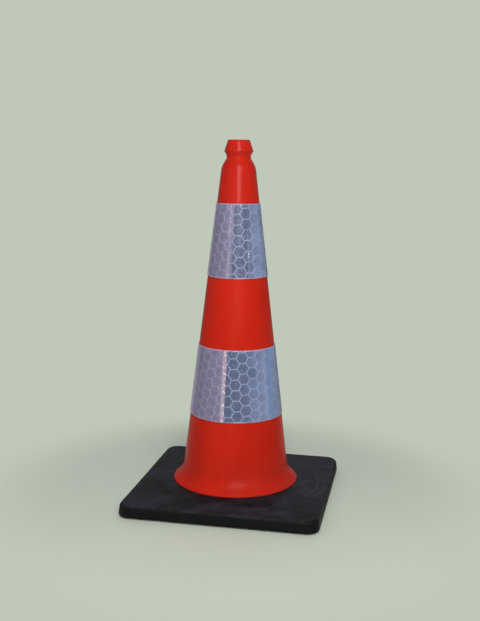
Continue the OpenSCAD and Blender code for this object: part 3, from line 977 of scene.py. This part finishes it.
def lens_film(collar):
    """Prismatic film: dark cells, pale welds and a lilac cast beside the seams that is partly painted
    reflection, with painted light and shade: a lit side, painted glints, a pale glare, a blue line of light
    and a darker upper collar.
    """
    finish = new_finish("lens_film")
    x, y, z = finish.axes()
    weld = finish.attribute("weld")
    seam = finish.attribute("seam")
    tint = finish.attribute("tint")
    here = finish.place()
    azimuth = y.math("ARCTAN2", y, x)
    from_seam = azimuth.math("WRAP", azimuth - collar.seam_azimuth, pi / 2, -pi / 2)
    aside = from_seam * finish.reach()
    upper_foot = collar.upper_top - collar.upper_h
    lower = finish.fade(z, upper_foot - 0.03, upper_foot - 0.02)
    drift = finish.grain((6.0, 6.0, 2.0), 2.0, 2.0)
    turned_back = finish.fade(from_seam, -pi / 2, -1.28)
    # Lilac cast beside the seam: partly the film's own tint, partly painted iridescent reflection.
    lilac = finish.fade(aside + (drift - 0.5) * 0.003, 0.0042, 0.0072) * (1 - turned_back)
    light_side = finish.ramp(from_seam + (drift - 0.5) * 0.5, 0.35, 1.2) + turned_back
    # Painted shade: the upper collar's cells are darkened a fifth of the way to black.
    cell = finish.mix((1 - lower) * 0.2, collar.cell, (0.0, 0.0, 0.0))
    cell = finish.mix(lilac * 0.9, cell, collar.lilac)
    cell = finish.mix(light_side * 0.9 + (tint - 0.5) * 0.12, cell, collar.side)
    line = finish.mix(lilac * 0.5 + light_side * 0.5, collar.weld, collar.seam)
    # Painted reflection: a pale band of grazing glare left of the seam, on cells and welds.
    glare_band = finish.fade(abs(from_seam - GLARE_TURN), 0.1, 0.3)
    cell = finish.mix(glare_band * 0.6, cell, collar.grazing_glare)
    line = finish.mix(glare_band, line, collar.grazing_glare)
    lined = weld * (0.85 - lilac * 0.25 - light_side * 0.2)
    paint = finish.mix(lined, cell, line)
    streaks = finish.grain((160.0, 160.0, 4.0), 1.0, 3.0, 0.6)
    paint = finish.mix(finish.ramp(streaks, 0.55, 0.8) * 0.2, paint, collar.seam)
    strip = (finish.ramp(aside, 0.0014, 0.0020)
             * finish.fade(aside, collar.seam_w + 0.0024, collar.seam_w + 0.0042))
    paint = finish.mix(strip * lower * 0.8, paint, collar.strip)
    # Painted reflection: a blue line of light down the lower collar.
    painted_streak = finish.fade(abs(from_seam - STREAK_TURN), 0.03, 0.12) * lower
    paint = finish.mix(painted_streak * 0.6, paint, collar.painted_streak)
    # Painted glints: a pale line with sparkles on the upper collar, sparkles in the pink strip by the lower
    # seam and a few over the whole film.
    glint_line = (finish.fade(abs(from_seam - GLINT_TURN), 0.02, 0.06) * (1 - lower)
                  * finish.fade(z, collar.upper_top - 0.055, collar.upper_top - 0.035))
    paint = finish.mix(glint_line * 0.3, paint, collar.weld)
    glint_specks = finish.fade(finish.flecks(finish.place((1.0, 1.0, 0.6)), 340.0), 0.24, 0.44)
    dots = finish.grain(here, 1500.0, 2.0, 0.7)
    paint = finish.mix(finish.ramp(dots, 0.48, 0.72) * (1 - weld) * 0.22, paint, collar.white)
    painted_gleam = finish.ramp(finish.grain((3.0, 3.0, 9.0), 6.0, 2.0), 0.34, 0.5)
    painted_glints = strip * lower * painted_gleam + glint_line * 0.7 + painted_gleam * 0.08
    paint = finish.mix(glint_specks * painted_glints, paint, collar.painted_gleam)
    is_seam = finish.ramp(seam, EDGE_MARK + 0.1, SEAM_MARK - 0.1)
    paint = finish.mix(seam * (1 - is_seam * finish.ramp(aside, 0.0013, 0.0019)), paint, collar.seam)
    relief = finish.flecks(here, 1100.0) * (1 - weld) * (1 - seam)
    rough = 0.42 + weld * 0.10 + seam * 0.12
    return finish.surface(Base_Color=paint, Metallic=0.2, Roughness=rough, IOR=1.5,
                          Coat_Weight=0.1, Coat_Roughness=0.3,
                          Normal=finish.bump(relief, 0.35, 0.0003))


def white_backing(collar):
    """Matt white sheet behind the film, a little grey where dirt creeps in."""
    finish = new_finish("backing_sheet")
    dirt = finish.ramp(finish.grain(finish.place(), 120.0, 4.0), 0.4, 0.75)
    paint = finish.mix(dirt * 0.4, collar.white, linear(150, 148, 150))
    return finish.surface(Base_Color=paint, Roughness=0.6, IOR=1.45,
                          Normal=finish.bump(finish.grain(finish.place(), 900.0), 0.2, 0.0002))


class TRAFFIC_CONE_OT_collars(bpy.types.Operator):
    """Wrap the honeycomb panels round the cone and finish their backing sleeves"""
    bl_idname = "traffic_cone.collars"
    bl_label = "Reflective Collars"

    def execute(self, context):
        scene = context.scene
        collar = scene.traffic_collars
        form = ConeForm(scene)
        film = lens_film(collar)
        levels = {"upper": (collar.upper_top - collar.upper_h, collar.upper_top),
                  "lower": (collar.lower_top - collar.lower_h, collar.lower_top)}
        starts = {"front": collar.seam_azimuth, "rear": collar.seam_azimuth + pi}
        for name, lie in HONEYCOMBS.items():
            place, side = name.split("_")
            panel = Panel(*levels[place], starts[side], lie, form)
            piece = place_piece(f"{name}_film", lens_sheet(panel, collar), film,
                                f"{place}_collar", sharp_degrees=25)
            wall = piece.modifiers.new("film", "SOLIDIFY")
            wall.thickness = collar.film_t
            wall.offset = -1.0
            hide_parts(f"{name}_panel")
        backing = white_backing(collar)
        for node in ("upper_backing_sleeve", "lower_backing_sleeve"):
            sleeve = bpy.data.objects[node]
            sleeve.data.materials.clear()
            sleeve.data.materials.append(backing)
        return {"FINISHED"}


# ---- Stage ----

def floor_finish(stage):
    """Pale floor that keeps the object's shadow near it and melts into the backdrop."""
    finish = new_finish("floor_sage")
    speckle = finish.grain(finish.place(), 40.0)
    paint = finish.mix(speckle * 0.04, stage.ground, stage.sage)
    matt = finish.node("ShaderNodeBsdfPrincipled", inputs={
        "Base Color": paint, "Roughness": 0.9, "Specular IOR Level": 0.0})
    glow = finish.node("ShaderNodeEmission", inputs={"Color": (*stage.sage, 1.0)})
    seen = finish.node("ShaderNodeLightPath", output="Is Camera Ray")
    far = finish.ramp(finish.reach(), 0.22, 0.42)
    shader = finish.node("ShaderNodeMixShader", inputs={0: seen * far, 1: matt, 2: glow})
    finish.node("ShaderNodeOutputMaterial", inputs={"Surface": shader})
    return finish.owner


def room_light(stage):
    """World: the backdrop's colour to the camera, plain pale light to the object."""
    finish = Finish(bpy.data.worlds.new("studio"))
    seen = finish.node("ShaderNodeLightPath", output="Is Camera Ray")
    backdrop = finish.node("ShaderNodeBackground", inputs={"Color": (*stage.sage, 1.0)})
    light = finish.node("ShaderNodeBackground", inputs={
        "Color": (0.95, 0.98, 1.0, 1.0), "Strength": stage.sky})
    shader = finish.node("ShaderNodeMixShader", inputs={0: seen, 1: light, 2: backdrop})
    finish.node("ShaderNodeOutputWorld", inputs={"Surface": shader})
    return finish.owner


def toward_camera(stage, turn, elevation, distance):
    """Point at a turn to the right of the camera's direction, seen from the axis."""
    azimuth = stage.camera_azimuth + radians(turn)
    level = distance * cos(radians(elevation))
    return Vector((level * cos(azimuth), level * sin(azimuth), distance * sin(radians(elevation))))


def add_lamp(name, power, size, place, aim, tint):
    """Soft square lamp aimed at a point."""
    lamp = bpy.data.lights.new(name, "AREA")
    lamp.energy = power
    lamp.shape = "RECTANGLE"
    lamp.size, lamp.size_y = size
    lamp.color = tint
    turn = (aim - place).to_track_quat("-Z", "Y").to_matrix()
    add_object(name, lamp).matrix_world = Matrix.Translation(place) @ turn.to_4x4()


def add_camera(stage):
    """Camera at the photograph's viewing angle."""
    place = toward_camera(stage, 0, 0, stage.camera_distance) + UP * stage.camera_height
    turn = (Matrix.Rotation(stage.camera_azimuth + pi / 2, 4, "Z")
            @ Matrix.Rotation(pi / 2 - stage.camera_pitch, 4, "X")
            @ Matrix.Rotation(stage.camera_roll, 4, "Z"))
    lens = bpy.data.cameras.new("camera")
    lens.lens = stage.lens_mm
    lens.shift_x = stage.side_shift
    camera = add_object("camera", lens)
    camera.matrix_world = Matrix.Translation(place) @ turn
    bpy.context.scene.camera = camera


class TRAFFIC_CONE_OT_stage(bpy.types.Operator):
    """Set up the camera, the lamps, the floor and the backdrop"""
    bl_idname = "traffic_cone.stage"
    bl_label = "Stage"

    def execute(self, context):
        scene = context.scene
        stage = scene.traffic_stage
        add_camera(stage)
        aim = Vector((0, 0, 0.22))
        # Name, power, sides in metres, turn and elevation and distance, tint.
        lamps = (
            ("key_lamp", stage.key_w, (0.5, 1.0), (2, 40, 1.7), (1.0, 0.985, 0.96)),
            ("glint_lamp", stage.glint_w, (0.14, 0.3), (18, 36, 1.7), (1.0, 0.98, 0.96)),
            ("fill_lamp", stage.fill_w, (1.2, 1.2), (-55, 25, 1.8), (0.95, 0.97, 1.0)),
            ("back_lamp", stage.back_w, (1.6, 1.6), (180, 40, 2.2), (0.97, 0.98, 1.0)),
        )
        for name, power, sides, bearing, tint in lamps:
            add_lamp(name, power, sides, toward_camera(stage, *bearing), aim, tint)
        disc = bmesh.new()
        bmesh.ops.create_circle(disc, cap_ends=True, radius=6, segments=64)
        mesh = finished_mesh("floor", disc)
        mesh.materials.append(floor_finish(stage))
        floor = add_object("floor", mesh)
        scene.world = room_light(stage)
        scene.view_settings.view_transform = "Standard"
        return {"FINISHED"}


# ---- Add-on ----

STEPS = (
    TRAFFIC_CONE_OT_stage,
    TRAFFIC_CONE_OT_shell,
    TRAFFIC_CONE_OT_hooks,
    TRAFFIC_CONE_OT_base,
    TRAFFIC_CONE_OT_feet,
    TRAFFIC_CONE_OT_collars,
)


class TRAFFIC_CONE_PT_steps(bpy.types.Panel):
    """Lists the steps that build the cone"""
    bl_label = "Traffic Cone"
    bl_idname = "TRAFFIC_CONE_PT_steps"
    bl_space_type = "VIEW_3D"
    bl_region_type = "UI"
    bl_category = "Traffic Cone"

    def draw(self, context):
        for step in STEPS:
            self.layout.operator(step.bl_idname)


SETTINGS = {
    "traffic_cone": ConeSettings,
    "traffic_base": BaseSettings,
    "traffic_collars": CollarSettings,
    "traffic_stage": StageSettings,
}

CLASSES = (*SETTINGS.values(), *STEPS, TRAFFIC_CONE_PT_steps)


def register():
    for item in CLASSES:
        bpy.utils.register_class(item)
    for name, group in SETTINGS.items():
        setattr(bpy.types.Scene, name, bpy.props.PointerProperty(type=group))


def unregister():
    for name in SETTINGS:
        delattr(bpy.types.Scene, name)
    for item in reversed(CLASSES):
        bpy.utils.unregister_class(item)


def main():
    register()
    bpy.ops.traffic_cone.stage()
    bpy.ops.traffic_cone.shell()
    bpy.ops.traffic_cone.hooks()
    bpy.ops.traffic_cone.base()
    bpy.ops.traffic_cone.feet()
    bpy.ops.traffic_cone.collars()


if __name__ == "__main__":
    main()
